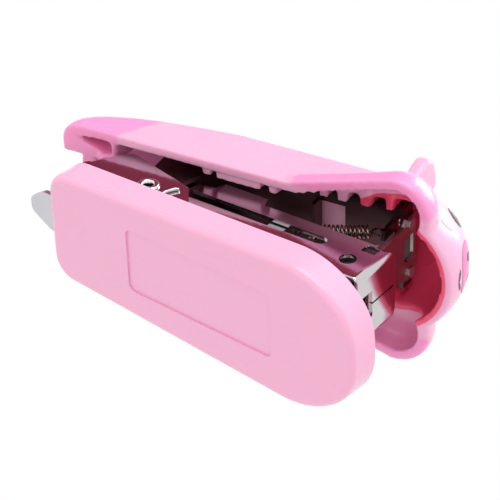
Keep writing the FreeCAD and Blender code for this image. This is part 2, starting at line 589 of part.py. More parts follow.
# ---------------------------------------------------------------- handle frame and driver
def handle_frame():
    """The steel frame in the cover: a top plate, short flanges, and two ears down to the pin."""
    body = new_body("handle_frame_body")
    side = [("slope_from", "frame_top"), ("frame_rear", "frame_top - slope_drop"),
            ("frame_rear", "frame_top - 5"), ("-2.4", "-1.2"),
            ("-1.2", "-2.2"), ("1.2", "-2.2"), ("2.2", "-1.2"), ("2.2", "1.4"), ("4.6", "7.6"),
            ("4.6", "frame_flange"), ("frame_front", "frame_flange"), ("frame_front", "frame_top")]
    pad(body, outline(body, "XZ_Plane", side, "frame_form"), "2 * frame_half", both=True)
    behind = "slope_drop * (slope_from - frame_rear + 1) / (slope_from - frame_rear)"
    room = [("frame_rear - 1", "-5"), ("frame_front + 1", "-5"),
            ("frame_front + 1", "frame_top - frame_steel"), ("slope_from", "frame_top - frame_steel"),
            ("frame_rear - 1", f"frame_top - frame_steel - {behind}")]
    cut(body, outline(body, "XZ_Plane", room, "frame_room"), "2 * (frame_half - frame_steel)",
        both=True)
    cut(body, ring(body, "XZ_Plane", "0", "0", "pin_rad + hinge_gap", "frame_hinge"),
        "4 * frame_half", both=True)
    for name, (a, b, half) in {"front_window": ("hook_at + 0.6", "hook_at + 2.4", "1.3"),
                               "rear_window": ("21.2", "25.6", "3.4")}.items():
        y = "spring_y" if name == "front_window" else "0"
        spots = [(a, f"{y} - {half}"), (b, f"{y} - {half}"), (b, f"{y} + {half}"), (a, f"{y} + {half}")]
        sketch = outline(body, "XY_Plane", spots, name)
        cut(body, sketch, "30", back=True)
    hook = block("hook", ("hook_at", "spring_y - 0.9", "hook_low"),
                 ("hook_at + 0.6", "spring_y + 0.9", "frame_top - 0.1"))
    notch = across_pin("hook_notch", "hook_at - 0.1", "hook_low + 1", "0.35", "4")
    tab = block("window_tab", ("20.6", "-3.4", "frame_top - 2.4"), ("21.2", "3.4", "frame_top - 0.1"))
    flaps = [block(f"flap_{i}", ("frame_front - frame_steel", low, "frame_flange"),
                   ("frame_front", high, "frame_top - 0.1"))
             for i, (low, high) in enumerate((("2.9", "frame_half - 0.2"),
                                              ("0.2 - frame_half", "-2.9")))]
    whole = fused("frame_with_tabs", body, less("hook_cut", hook, notch), tab, *flaps)
    holes = fused("flap_holes", *driver_pins("flap_hole", "0.62"))
    return keep(less("frame_drilled", whole, holes), "handle_frame", "cover")


def driver_pins(name, radius):
    """Two round pins along X, where the driver meets the frame's front flaps."""
    return [primitive("Cylinder", f"{name}_{i}", ("frame_front - frame_steel - 0.25", y, "14.1"),
                      (V(0, 1, 0), 90), Radius=radius, Height="frame_steel + driver_thick + 0.5")
            for i, y in enumerate(("4.3", "-4.3"))]


def driver_rivets():
    rivets = []
    for i, (pin, y) in enumerate(zip(driver_pins("driver_shank", "0.58"), ("4.3", "-4.3"))):
        ends = [primitive("Cylinder", f"driver_head_{i}_{k}", (x, y, "14.1"), (V(0, 1, 0), 90),
                          Radius="0.95", Height="0.3")
                for k, x in enumerate(("frame_front - frame_steel - 0.32",
                                       "frame_front + driver_thick + 0.04"))]
        rivets.append(fused(f"driver_rivet_{i}", pin, *ends))
    group = doc.addObject("Part::Compound", "driver_rivet_pair")
    group.Links = rivets
    return keep(group, "driver_rivets", "cover")


def driver_blade():
    """The hardened blade that drives one staple, fixed to the front end of the handle frame."""
    body = new_body("driver_body")
    face = [("-driver_half", "driver_low"), ("driver_half", "driver_low"),
            ("driver_half", "11.9"), ("driver_half + 0.8", "12.8"), ("driver_half + 0.8", "frame_top"),
            ("-driver_half - 0.8", "frame_top"), ("-driver_half - 0.8", "12.8"),
            ("-driver_half", "11.9")]
    sketch = outline(body, "YZ_Plane", face, "driver_face")
    sketch.setExpression(".AttachmentOffset.Base.z", cells("frame_front + 0.02"))
    pad(body, sketch, "driver_thick")
    hole = [("-2.2", "12.2"), ("1.5", "11.9"), ("2.2", "13.6"), ("1.4", "15"), ("-2.2", "15")]
    window = outline(body, "YZ_Plane", hole, "driver_window")
    window.setExpression(".AttachmentOffset.Base.z", cells("frame_front - 1"))
    cut(body, window, "4", back=True)
    for i, y in enumerate(("4.3", "-4.3")):
        cut(body, ring(body, "YZ_Plane", y, "14.1", "0.62", f"rivet_hole_{i}"), "60", back=True)
    return keep(body, "driver_blade", "cover")


# ---------------------------------------------------------------- cover shell
def ball_and_leg(name, side, shrink):
    """One front leg: a round paw, tapering back to the shoulder."""
    paw = V(number("paw_at"), side * number("paw_side"), number("rim + paw_up"))
    hip = V(number("leg_at"), side * number("leg_side"), number("rim + paw_up"))
    r1, r2 = number("leg_rad") - shrink, number("paw_rad") - shrink
    reach = paw - hip
    sine = (r2 - r1) / reach.Length
    cosine = math.sqrt(1 - sine * sine)
    unit = V(reach).normalize()
    start, end = hip - unit * r1 * sine, paw - unit * r2 * sine
    taper = Part.makeCone(r1 * cosine, r2 * cosine, (end - start).Length, start, unit)
    return taper.fuse([Part.makeSphere(r1, hip), Part.makeSphere(r2, paw)])


def back_form(shrink):
    """The long back of the cover as a solid, drawn in by shrink all round."""
    half, rear, low = number("cover_half") - shrink, number("cover_rear") + shrink, number("rim")
    top = number("rim + cover_tall") - shrink
    far = number("head_at")
    side = [V(rear, 0, low - (6 if shrink else 0)), V(rear, 0, low + 1.6), V(rear + 0.4, 0, top - 5.6),
            V(rear + 7, 0, top - 2.0), V(rear + 27, 0, top), V(far, 0, top),
            V(far, 0, low - (6 if shrink else 0))]
    bow = Part.BSplineCurve()
    bow.buildFromPoles(side[1:5], False, 3)
    edges = [Part.LineSegment(side[0], side[1]).toShape(), bow.toShape()]
    edges += [Part.LineSegment(a, b).toShape() for a, b in zip(side[4:], side[5:] + side[:1])]
    face = Part.Face(Part.Wire(edges))
    solid = face.extrude(V(0, 2 * half, 0)).translated(V(0, -half, 0))
    rounds = [e for e in solid.Edges if e.BoundBox.YLength < 0.01 and e.BoundBox.ZMax > low + 1.5
              and e.BoundBox.XMin < far - 1]
    return solid.makeFillet(max(number("cover_edge") - shrink, 0.8), rounds)


def cover_form(shrink):
    """The whole cover as one solid: the back, the round head and the two front legs."""
    head = Part.makeSphere(number("head_rad") - shrink, V(number("head_at"), 0, number("head_up")))
    legs = [ball_and_leg("leg", side, shrink) for side in (1, -1)]
    return back_form(shrink).fuse([head] + legs)


def head_ears():
    """Two thick rounded ears, one on each side of the top of the head."""
    long, half = number("ear_long"), number("ear_half")
    made = []
    for side in (1, -1):
        slab = Part.makeBox(number("ear_thick"), 2 * half, long + 4,
                            V(-number("ear_thick") / 2, -half, -4))
        rounds = [e for e in slab.Edges if e.BoundBox.XLength > 1 and e.BoundBox.ZMin > long - 0.01]
        slab = slab.makeFillet(half * 0.62, rounds)
        soft = [e for e in slab.Edges if e.BoundBox.XLength < 0.01]
        slab = slab.makeFillet(0.7, soft)
        slab.Placement = FreeCAD.Placement(
            V(number("ear_at"), side * number("ear_side"), number("ear_up")),
            FreeCAD.Rotation(V(1, 0, 0), -side * number("ear_lean")))
        made.append(slab)
    return made


def cover_ribs(inside):
    """Stiffening ribs on the side walls that hold the handle frame, and the rear cells."""
    wall, rim, top = number("cover_half"), number("rim"), number("rim + cover_tall")
    outer, inner = number("cover_half") - 0.5, number("frame_half") + 0.1
    made = []
    places = [(4.6, 6.2, 1.0), (7.2, 15.0, 0.8), (16.4, 18.0, 0.8), (23.6, 25.0, 3.6),
              (26.6, 28.2, 3.6), (30.2, 32.0, 3.9), (34.2, 35.4, 4.6)]
    for a, b, up in places:
        for side in (1, -1):
            low_y, high_y = sorted((side * inner, side * outer))
            made.append(Part.makeBox(b - a, high_y - low_y, top - 1 - rim - up, V(a, low_y, rim + up)))
    for u in (6.0, 28.0):
        for y in (4.0, -4.0):
            made.append(Part.makeCylinder(1.2, 2.0, V(u, y, number("frame_top") + 0.02)))
    return [m.common(inside) for m in made]


def rear_lobes(inside):
    """The two hind feet: closed underneath, each with a three-cornered pocket and a small peg."""
    rear, front, rim = number("cover_rear"), number("block_front"), number("rim")
    low, half = number("lobe_in"), number("cover_half")
    made = []
    for side in (1, -1):
        base = min(side * low, side * half)
        lobe = Part.makeBox(front - rear, half - low, 9, V(rear, base, rim))
        inner_rear = [e for e in lobe.Edges if e.BoundBox.ZLength > 1
                      and abs(e.CenterOfMass.x - rear) < 0.01 and abs(abs(e.CenterOfMass.y) - low) < 0.01]
        lobe = lobe.makeFillet(3.0, inner_rear).common(inside)
        spots = [V(rear + 1.8, side * 8.6, rim - 1), V(front - 1.1, side * 8.8, rim - 1),
                 V(front - 1.1, side * 6.5, rim - 1), V(front - 2.4, side * 6.5, rim - 1)]
        pocket = Part.Face(Part.makePolygon(spots + spots[:1])).extrude(V(0, 0, 4.5))
        peg = Part.makeCylinder(0.6, 2.0, V(front - 2.6, side * 5.9, rim - 0.9))
        made.append(lobe.cut(pocket).fuse(peg))
    return made


def rump_notch():
    """The raised edge between the hind feet."""
    rear, low, rim = number("cover_rear"), number("lobe_in"), number("rim")
    notch = Part.makeBox(7, 2 * low, number("rump_up") - rim + 4, V(rear - 1, -low, rim - 4))
    top = [e for e in notch.Edges if e.BoundBox.YLength < 0.01 and e.BoundBox.ZMin > rim + 1]
    return notch.makeFillet(2.5, top)


def cover_shell():
    """The moulded cover: a hollow piglet whose open rim faces the base."""
    rim = number("rim")
    below = Part.makeBox(120, 60, 40, V(-50, -30, rim - 40))
    wall = number("cover_wall")
    outside = cover_form(0).fuse(head_ears()).cut(below)
    hollow = cover_form(wall)
    shell = outside.cut([hollow, rump_notch()])
    shell = shell.fuse(cover_ribs(outside) + rear_lobes(outside)).removeSplitter()
    obj = doc.addObject("Part::Feature", "cover_shell_solid")
    obj.Shape = shell
    return keep(obj, "cover_shell", "cover")


for make in (base_shell, base_bracket, anvil_plate, anvil_rivets, bracket_screws, remover_blade,
             remover_rivet, hinge_pin, hinge_sleeve, return_spring, magazine_channel, staple_rail,
             rail_rivet, staples, pusher, pusher_spring, handle_frame, driver_blade, driver_rivets,
             cover_shell):
    make()
doc.recompute()

failed = [o.Label for o in doc.Objects if {"Invalid", "Error"} & set(o.State)]
for part in PARTS:
    if part.Shape.isNull() or not part.Shape.isValid() or not part.Shape.Solids:
        failed.append(part.Label)
if failed:
    raise RuntimeError("not sound: " + ", ".join(failed))

os.makedirs("parts", exist_ok=True)
for part in PARTS:
    part.Shape.exportStep(f"parts/{part.Label}.step")
    print(f"{part.Label:18s} {len(part.Shape.Solids):3d} solids {part.Shape.Volume:9.1f} mm3")
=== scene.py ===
import bpy
import bmesh
import math
from mathutils import Matrix, Vector


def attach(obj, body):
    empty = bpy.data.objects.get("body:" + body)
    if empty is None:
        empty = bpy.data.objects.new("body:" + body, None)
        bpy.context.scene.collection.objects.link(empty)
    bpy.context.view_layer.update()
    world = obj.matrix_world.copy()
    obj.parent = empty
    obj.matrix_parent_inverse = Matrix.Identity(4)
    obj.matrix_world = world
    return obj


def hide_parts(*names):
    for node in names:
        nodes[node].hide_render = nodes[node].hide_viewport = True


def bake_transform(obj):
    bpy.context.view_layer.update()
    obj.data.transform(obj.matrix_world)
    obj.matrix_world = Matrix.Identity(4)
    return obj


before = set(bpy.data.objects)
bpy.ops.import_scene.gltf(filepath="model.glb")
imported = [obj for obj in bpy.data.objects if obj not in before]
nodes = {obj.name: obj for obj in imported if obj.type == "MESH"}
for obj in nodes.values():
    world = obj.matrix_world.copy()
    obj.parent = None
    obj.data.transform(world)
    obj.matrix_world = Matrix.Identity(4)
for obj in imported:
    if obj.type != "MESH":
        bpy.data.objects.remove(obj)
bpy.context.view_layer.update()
MM = 0.001

# Base shell: the long pink tray that is the stapler's foot, with a label recess underneath.
# It is injection moulded in glossy ABS plastic, and the steel bracket is screwed to its bosses.
PALE_PINK = (0.870, 0.420, 0.605)
DEEP_PINK = (0.900, 0.300, 0.570)


def new_material(name):
    """An empty node material with its shader, ready for a finish."""
    mat = bpy.data.materials.new(name)
    mat.use_nodes = True
    return mat, mat.node_tree.nodes, mat.node_tree.links, mat.node_tree.nodes["Principled BSDF"]


def node_of(tree_nodes, kind, **values):
    """A node of a kind. Sockets are given by name, and properties by their own names."""
    node = tree_nodes.new(kind)
    for key, value in values.items():
        if hasattr(node, key):
            setattr(node, key, value)
        else:
            node.inputs[key.replace("_", " ")].default_value = value
    return node


def moulded_plastic(name, colour, shade=0.99, gloss=0.27):
    """Glossy moulded plastic, with faintly cloudy pigment and a skin that is never quite flat."""
    mat, made, links, shader = new_material(name)
    place = node_of(made, "ShaderNodeTexCoord")
    cloud = node_of(made, "ShaderNodeTexNoise", Scale=90.0, Detail=1.0)
    ramp = node_of(made, "ShaderNodeValToRGB")
    ramp.color_ramp.elements[0].position = 0.3
    ramp.color_ramp.elements[1].position = 0.7
    ramp.color_ramp.elements[0].color = (*(c * shade for c in colour), 1)
    ramp.color_ramp.elements[1].color = (*colour, 1)
    skin = node_of(made, "ShaderNodeTexNoise", Scale=420.0, Detail=2.0)
    bump = node_of(made, "ShaderNodeBump", Strength=0.01, Distance=0.0002)
    sheen = node_of(made, "ShaderNodeMapRange", To_Min=gloss - 0.01, To_Max=gloss + 0.02)
    for texture in (cloud, skin):
        links.new(place.outputs["Object"], texture.inputs["Vector"])
    links.new(cloud.outputs["Fac"], ramp.inputs["Fac"])
    links.new(ramp.outputs["Color"], shader.inputs["Base Color"])
    links.new(skin.outputs["Fac"], bump.inputs["Height"])
    links.new(bump.outputs["Normal"], shader.inputs["Normal"])
    links.new(cloud.outputs["Fac"], sheen.inputs["Value"])
    links.new(sheen.outputs["Result"], shader.inputs["Roughness"])
    shader.inputs["Subsurface Weight"].default_value = 0.15
    shader.inputs["Subsurface Radius"].default_value = (1.0, 0.22, 0.34)
    shader.inputs["Subsurface Scale"].default_value = 1.5 * MM
    shader.inputs["Coat Weight"].default_value = 0.25
    shader.inputs["Coat Roughness"].default_value = 0.12
    return mat


def dress(node_name, mat):
    """Gives a CAD node its finish."""
    node = nodes[node_name]
    node.data.materials.clear()
    node.data.materials.append(mat)


dress("base_shell", moulded_plastic("base_pink_plastic", PALE_PINK))


# Base bracket: one pressed sheet with a floor, hinge ears, a curled rear edge and a raised deck.
# It is mild steel 0.7 mm thick, bright plated, and screwed down inside the tray.
def plated_steel(name, colour=(0.80, 0.79, 0.80), rough=0.07, grain=(60, 900, 900), drawn=0.10):
    """Bright plated sheet: a mirror with faint drawing lines along the sheet."""
    mat, made, links, shader = new_material(name)
    place = node_of(made, "ShaderNodeTexCoord")
    stretch = node_of(made, "ShaderNodeMapping")
    stretch.inputs["Scale"].default_value = grain
    lines = node_of(made, "ShaderNodeTexNoise", Scale=4.0, Detail=4.0)
    wear = node_of(made, "ShaderNodeTexNoise", Scale=240.0, Detail=3.0)
    rough_range = node_of(made, "ShaderNodeMapRange", To_Min=rough, To_Max=rough + drawn)
    tint = node_of(made, "ShaderNodeValToRGB")
    tint.color_ramp.elements[0].color = (*(c * 0.86 for c in colour), 1)
    tint.color_ramp.elements[1].color = (*colour, 1)
    bump = node_of(made, "ShaderNodeBump", Strength=0.05, Distance=0.00008)
    links.new(place.outputs["Object"], stretch.inputs["Vector"])
    links.new(stretch.outputs["Vector"], lines.inputs["Vector"])
    links.new(place.outputs["Object"], wear.inputs["Vector"])
    links.new(lines.outputs["Fac"], rough_range.inputs["Value"])
    links.new(rough_range.outputs["Result"], shader.inputs["Roughness"])
    links.new(wear.outputs["Fac"], tint.inputs["Fac"])
    links.new(tint.outputs["Color"], shader.inputs["Base Color"])
    links.new(lines.outputs["Fac"], bump.inputs["Height"])
    links.new(bump.outputs["Normal"], shader.inputs["Normal"])
    shader.inputs["Metallic"].default_value = 1.0
    return mat


bracket_plate = plated_steel("bracket_bright_plate", (0.62, 0.60, 0.62))
dress("base_bracket", bracket_plate)

# Anvil plate and its two rivets: the hard plate whose grooves fold a staple's legs.
# It is pressed spring steel, polished, and riveted down to the bracket's deck.
dress("anvil_plate", plated_steel("anvil_polished_steel", (0.72, 0.71, 0.73), rough=0.14))
dress("anvil_rivets", plated_steel("anvil_rivet_steel", (0.66, 0.65, 0.66), rough=0.22))
dress("bracket_screws", plated_steel("screw_zinc_plate", (0.70, 0.69, 0.66), rough=0.20))

# Staple remover: a flat steel tongue behind the base, held by one rivet through the bracket.
# It is tumbled after stamping, so it is satin with fine scratches along its length.
dress("remover_blade", plated_steel("remover_satin_steel", (0.66, 0.65, 0.68), rough=0.30,
                                    drawn=0.18))
dress("remover_rivet", plated_steel("remover_rivet_steel", (0.66, 0.65, 0.66), rough=0.22))

# Hinge pin: a tubular rivet through ears, magazine and frame, with both ends rolled over.
# It is bright plated steel. The rolled lip stands up round an open bore at each side.
HINGE = Vector((0, 0, 8.1)) * MM
PIN_REACH = 7.9
PIN_BORE = 0.78
PIN_SHANK = 1.14
LIP_EDGE = 1.82
LIP_MIDDLE = 1.30
LIP_HALF_WIDE = 0.52
LIP_TALL = 0.42


def turned_piece(name, profile, steps=48):
    """A piece turned about the Y axis from a closed profile of (radius, y) in mm."""
    bm = bmesh.new()
    rings = []
    for k in range(steps):
        a = 2 * math.pi * k / steps
        rings.append([bm.verts.new((r * math.cos(a) * MM, y * MM, r * math.sin(a) * MM))
                      for r, y in profile])
    for k in range(steps):
        here, ahead = rings[k], rings[(k + 1) % steps]
        for i in range(len(profile)):
            j = (i + 1) % len(profile)
            bm.faces.new((here[i], here[j], ahead[j], ahead[i]))
    bmesh.ops.recalc_face_normals(bm, faces=bm.faces)
    return piece_from(bm, name)


def piece_from(bm, name, flat_above=40):
    """A new object from a mesh under work, smooth but for its real corners."""
    mesh = bpy.data.meshes.new(name)
    bm.to_mesh(mesh)
    bm.free()
    for face in mesh.polygons:
        face.use_smooth = True
    mesh.set_sharp_from_angle(angle=math.radians(flat_above))
    piece = bpy.data.objects.new(name, mesh)
    bpy.context.scene.collection.objects.link(piece)
    return piece


def rolled_lip(side):
    """One rolled end, as (radius, y) from the bore outwards and back under the lip."""
    arc = []
    for k in range(9):
        a = math.pi * k / 8
        arc.append((LIP_MIDDLE - LIP_HALF_WIDE * math.cos(a),
                    side * (PIN_REACH + 0.12 + LIP_TALL * math.sin(a))))
    return arc


ear_face = PIN_REACH + 0.02
pin_profile = rolled_lip(1) + [(LIP_EDGE, ear_face), (PIN_SHANK, ear_face),
                               (PIN_SHANK, -ear_face), (LIP_EDGE, -ear_face)]
pin_profile += rolled_lip(-1)[::-1] + [(PIN_BORE, -6.0), (PIN_BORE, 6.0)]
pin = turned_piece("hinge_eyelet", pin_profile)
pin.location = HINGE
pin.data.materials.append(plated_steel("eyelet_bright_plate", (0.86, 0.86, 0.87), rough=0.06))
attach(pin, "base")
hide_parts("hinge_pin")
dress("hinge_sleeve", plated_steel("sleeve_steel", (0.6, 0.6, 0.6), rough=0.25))


# Return spring: a torsion spring round the hinge, with one leg hooked out through the ear.
# It is coiled from 0.5 mm music wire, left bright from the drawing die.
def smooth_line(points, steps=6):
    """A line through the points, rounded at each one, as a list of vectors."""
    pts = [Vector(p) for p in points]
    line = []
    for i in range(len(pts) - 1):
        p0 = pts[max(i - 1, 0)]
        p1, p2 = pts[i], pts[i + 1]
        p3 = pts[min(i + 2, len(pts) - 1)]
        for k in range(steps):
            t = k / steps
            line.append(0.5 * ((2 * p1) + (p2 - p0) * t + (2 * p0 - 5 * p1 + 4 * p2 - p3) * t * t
                               + (3 * p1 - p0 - 3 * p2 + p3) * t ** 3))
    line.append(pts[-1])
    return line


def wire_along(name, line, radius, sides=10):
    """Round wire along a line in mm, with closed ends."""
    bm = bmesh.new()
    across = (line[1] - line[0]).orthogonal().normalized()
    rings = []
    for i, p in enumerate(line):
        ahead = line[min(i + 1, len(line) - 1)] - line[max(i - 1, 0)]
        ahead.normalize()
        across = (across - ahead * across.dot(ahead)).normalized()
        over = ahead.cross(across)
        rings.append([bm.verts.new((p + (across * math.cos(a) + over * math.sin(a)) * radius) * MM)
                      for a in (2 * math.pi * k / sides for k in range(sides))])
    for here, ahead in zip(rings, rings[1:]):
        for k in range(sides):
            bm.faces.new((here[k], here[(k + 1) % sides], ahead[(k + 1) % sides], ahead[k]))
    bm.faces.new(rings[0][::-1])
    bm.faces.new(rings[-1])
    return piece_from(bm, name)


drawn_wire = plated_steel("return_spring_wire", (0.72, 0.71, 0.72), rough=0.16)
TURN_STEPS = 24
COIL_STEPS = 3 * TURN_STEPS + 7
COIL_RADIUS = 2.35
COIL_LONG = 1.62
turns = []
for k in range(COIL_STEPS):
    a = -math.pi / 2 - 2 * math.pi * k / TURN_STEPS
    turns.append((COIL_RADIUS * math.cos(a), -4.8 + COIL_LONG * (1 - k / COIL_STEPS),
                  8.1 + COIL_RADIUS * math.sin(a)))
hooked = smooth_line([(3.3, -3.2, 5.3), (3.5, -5.2, 5.4), (3.5, -6.8, 5.9), (3.5, -6.9, 7.0),
                      (3.5, -7.9, 7.35), (3.52, -8.22, 7.9), (3.75, -8.24, 8.8), (4.15, -8.2, 9.7),
                      (4.6, -8.15, 10.0)])
coil_line = hooked[::-1] + [Vector(p) for p in turns]
return_spring = wire_along("return_torsion_spring", coil_line, 0.24)
return_spring.data.materials.append(drawn_wire)
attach(return_spring, "base")
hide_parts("return_spring")

# Magazine: a channel folded from sheet steel, windowed at the sides, with two flaps for its nose.
# It is bright plated 0.6 mm sheet, so it mirrors the pink plastic round it.
dress("magazine_channel", plated_steel("magazine_bright_plate", (0.66, 0.62, 0.64), rough=0.05))
dress("staple_rail", plated_steel("rail_steel", (0.58, 0.57, 0.58), rough=0.2))
dress("rail_rivet", plated_steel("rail_rivet_steel", (0.62, 0.61, 0.62), rough=0.22))

# Staples: the strip on the rail. Each staple is flat-drawn wire with a square crown.
# The wire is galvanised steel, and the lacquer that glues the strip leaves thin dark lines.
dress("staples", plated_steel("staple_galvanised_wire", (0.84, 0.83, 0.84), rough=0.16,
                              grain=(2000, 60, 60), drawn=0.16))

# Pusher: the follower that keeps the strip against the nose, with a post for its spring.
# It is folded from 0.6 mm steel and slides on the rail.
dress("pusher", plated_steel("pusher_steel", (0.60, 0.58, 0.60), rough=0.18))

# Handle frame: the pressed steel frame inside the cover, hinged on the pin by its two ears.
# Its colour is a dark maroon, darker than the magazine: painted shade for the cover's dark inside,
# with a painted reflection of the pink. The cover's ribs hold it.
dress("handle_frame", plated_steel("frame_painted_shade_steel", (0.100, 0.048, 0.054), rough=0.22,
                                   drawn=0.2))

# Driver blade and rivets: the hardened blade at the frame's front end that drives one staple.
# It is ground spring steel, and two flat rivets hold it to the frame's front flaps.
dress("driver_blade", plated_steel("driver_ground_steel", (0.42, 0.38, 0.37), rough=0.22,
                                   drawn=0.2))
dress("driver_rivets", plated_steel("driver_rivet_steel", (0.55, 0.53, 0.53), rough=0.2))

# Pusher spring: a close-wound extension spring from the pusher's post to the frame's hook.
# It is brown music wire with an open loop bent at each end. It is made in two halves that meet.
COVER_TILT = math.radians(10.9)
MAGAZINE_TILT = math.radians(4.9)
SPRING_RADIUS = 0.95
SPRING_WIRE = 0.2
SPRING_ASIDE = -2.4


def tilted(angle, u, y, w):
    """A point of a part that is tilted about the hinge, in mm of the whole stapler."""
    return Vector((u * math.cos(angle) - w * math.sin(angle), y,
                   8.1 + u * math.sin(angle) + w * math.cos(angle)))


def helix_line(start, end, radius, turn_count, steps=16):
    """The centre line of a coil between two points."""
    along = (end - start).normalized()
    side = along.orthogonal().normalized()
    over = along.cross(side)
    line = []
    for k in range(turn_count * steps + 1):
        a = 2 * math.pi * k / steps
        line.append(start.lerp(end, k / (turn_count * steps))
                    + (side * math.cos(a) + over * math.sin(a)) * radius)
    return line


def open_loop(centre, first, second, radius, sweep=1.55):
    """A wire loop in the plane of two directions, open at its neck."""
    return [centre + (first * math.cos(a) + second * math.sin(a)) * radius
            for a in (sweep * math.pi * (k / 14) for k in range(15))]


spring_rear = tilted(MAGAZINE_TILT, 20.4, SPRING_ASIDE, 8.6)
spring_front = tilted(COVER_TILT, 33.3, SPRING_ASIDE, 12.6)
spring_run = (spring_front - spring_rear).normalized()
spring_up = Vector((0, 1, 0)).cross(spring_run) * -1
spring_middle = spring_rear.lerp(spring_front, 0.3)
spring_wire = plated_steel("pusher_spring_wire", (0.46, 0.36, 0.32), rough=0.18)
rear_loop = open_loop(spring_rear + spring_run * 0.3, -spring_run, Vector((0, 1, 0)), 1.0)
front_loop = open_loop(spring_front - spring_run * 0.8, spring_run, spring_up, 0.95)
rear_coil = helix_line(spring_rear + spring_run * 2.2, spring_middle, SPRING_RADIUS, 3)
front_coil = helix_line(spring_middle, spring_front - spring_run * 2.0, SPRING_RADIUS, 12)

rear_half = wire_along("pusher_spring_rear", rear_loop[::-1] + rear_coil, SPRING_WIRE, sides=8)
rear_half.data.materials.append(spring_wire)
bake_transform(rear_half)
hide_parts("pusher_spring")

front_half = wire_along("pusher_spring_front", front_coil + front_loop[::-1], SPRING_WIRE, sides=8)
front_half.data.materials.append(spring_wire)
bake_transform(front_half)


# Cover shell: the piglet lying flat, hollow, with ribs inside that hold the steel frame.
# It is one glossy ABS moulding. The feet and the rump are sprayed a deeper pink through a mask,
# and the inside of the thin head is painted red: a painted glow for light that comes through it.
HEAD = (36.4, 0.0, 9.8)
HEAD_RADIUS = 11.2
# Painted glow: the inside of the head is coloured red in place of light shining through its thin
# walls.
PAINTED_GLOW_EDGE = (HEAD_RADIUS - 0.85) * MM
PAINTED_GLOW_PINK = (0.86, 0.070, 0.170)


def cover_point(u, y, w):
    """A point of the cover's own frame, in metres of the whole stapler."""
    return tilted(COVER_TILT, u, y, w) * MM


def sprayed_and_glow_painted_plastic(name, pale, deep):
    """Moulded plastic, sprayed deeper on the rump and feet, with a painted red glow inside the
    thin head.
    """
    mat = moulded_plastic(name, pale)
    made, links = mat.node_tree.nodes, mat.node_tree.links
    shader = made["Principled BSDF"]
    place = node_of(made, "ShaderNodeTexCoord")
    own = node_of(made, "ShaderNodeMapping", vector_type="TEXTURE")
    own.inputs["Location"].default_value = HINGE
    own.inputs["Rotation"].default_value = (0, -COVER_TILT, 0)
    parts = node_of(made, "ShaderNodeSeparateXYZ")
    links.new(place.outputs["Object"], own.inputs["Vector"])
    links.new(own.outputs["Vector"], parts.inputs["Vector"])

    def maths(kind, first, second):
        step = node_of(made, "ShaderNodeMath", operation=kind)
        for socket, value in zip(step.inputs, (first, second)):
            if isinstance(value, float):
                socket.default_value = value
            else:
                links.new(value, socket)
        return step.outputs[0]

    def edge(value, low, high):
        step = node_of(made, "ShaderNodeMapRange", From_Min=low, From_Max=high)
        links.new(value, step.inputs["Value"])
        return step.outputs["Result"]

    u, y, w = (parts.outputs[k] for k in "XYZ")
    width = maths("ABSOLUTE", y, 0.0)
    slant = maths("ADD", u, maths("MULTIPLY", w, -0.55))
    rump = edge(slant, -0.0134, -0.0142)
    foot_line = maths("ADD", width, maths("MULTIPLY", w, -0.30))
    foot = maths("MULTIPLY", edge(foot_line, 0.0078, 0.0086),
                 maths("MULTIPLY", edge(u, 0.0205, 0.0212), edge(w, 0.0152, 0.0146)))
    sprayed = maths("MAXIMUM", rump, foot)
    colours = node_of(made, "ShaderNodeMix", data_type="RGBA")
    links.new(sprayed, colours.inputs[0])
    links.new(shader.inputs["Base Color"].links[0].from_socket, colours.inputs[6])
    colours.inputs[7].default_value = (*deep, 1)
    # Painted glow: faces inside the head's inner wall get the red, in place of light through the
    # thin plastic.
    centre = node_of(made, "ShaderNodeVectorMath", operation="DISTANCE")
    links.new(own.outputs["Vector"], centre.inputs[0])
    centre.inputs[1].default_value = tuple(c * MM for c in HEAD)
    painted_glow_mix = node_of(made, "ShaderNodeMix", data_type="RGBA")
    links.new(edge(centre.outputs["Value"], PAINTED_GLOW_EDGE + 0.0002, PAINTED_GLOW_EDGE), painted_glow_mix.inputs[0])
    links.new(colours.outputs[2], painted_glow_mix.inputs[6])
    painted_glow_mix.inputs[7].default_value = (*PAINTED_GLOW_PINK, 1)
    links.new(painted_glow_mix.outputs[2], shader.inputs["Base Color"])
    return mat


SKIN_GRAIN = 0.30 * MM
cover_mesh = nodes["cover_shell"].data.copy()
cover = bpy.data.objects.new("piglet_cover", cover_mesh)
bpy.context.scene.collection.objects.link(cover)
weld = cover.modifiers.new("one_skin", "REMESH")
weld.mode = "VOXEL"
weld.voxel_size = SKIN_GRAIN
weld.use_smooth_shade = True
soften = cover.modifiers.new("moulded_blends", "SMOOTH")
soften.factor = 0.6
soften.iterations = 9
bpy.context.view_layer.update()
worked = cover.evaluated_get(bpy.context.evaluated_depsgraph_get())
finished = bpy.data.meshes.new_from_object(worked)
cover.modifiers.clear()
cover.data = finished
cover.data.materials.clear()
cover.data.materials.append(sprayed_and_glow_painted_plastic("piglet_sprayed_plastic", PALE_PINK, DEEP_PINK))
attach(cover, "cover")
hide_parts("cover_shell")

# Face: eyes, snout, nostrils, mouth and cheeks on the front of the head, each a film that follows
# the head's curve.
# All are pad-printing ink but the brown and white spots on the eyes, which are painted highlights.
def head_direction(azimuth, elevation):
    """The way from the head's centre, by angles to the side and up from straight ahead."""
    a, e = math.radians(azimuth), math.radians(elevation)
    return Vector((math.cos(e) * math.cos(a), math.cos(e) * math.sin(a), math.sin(e)))


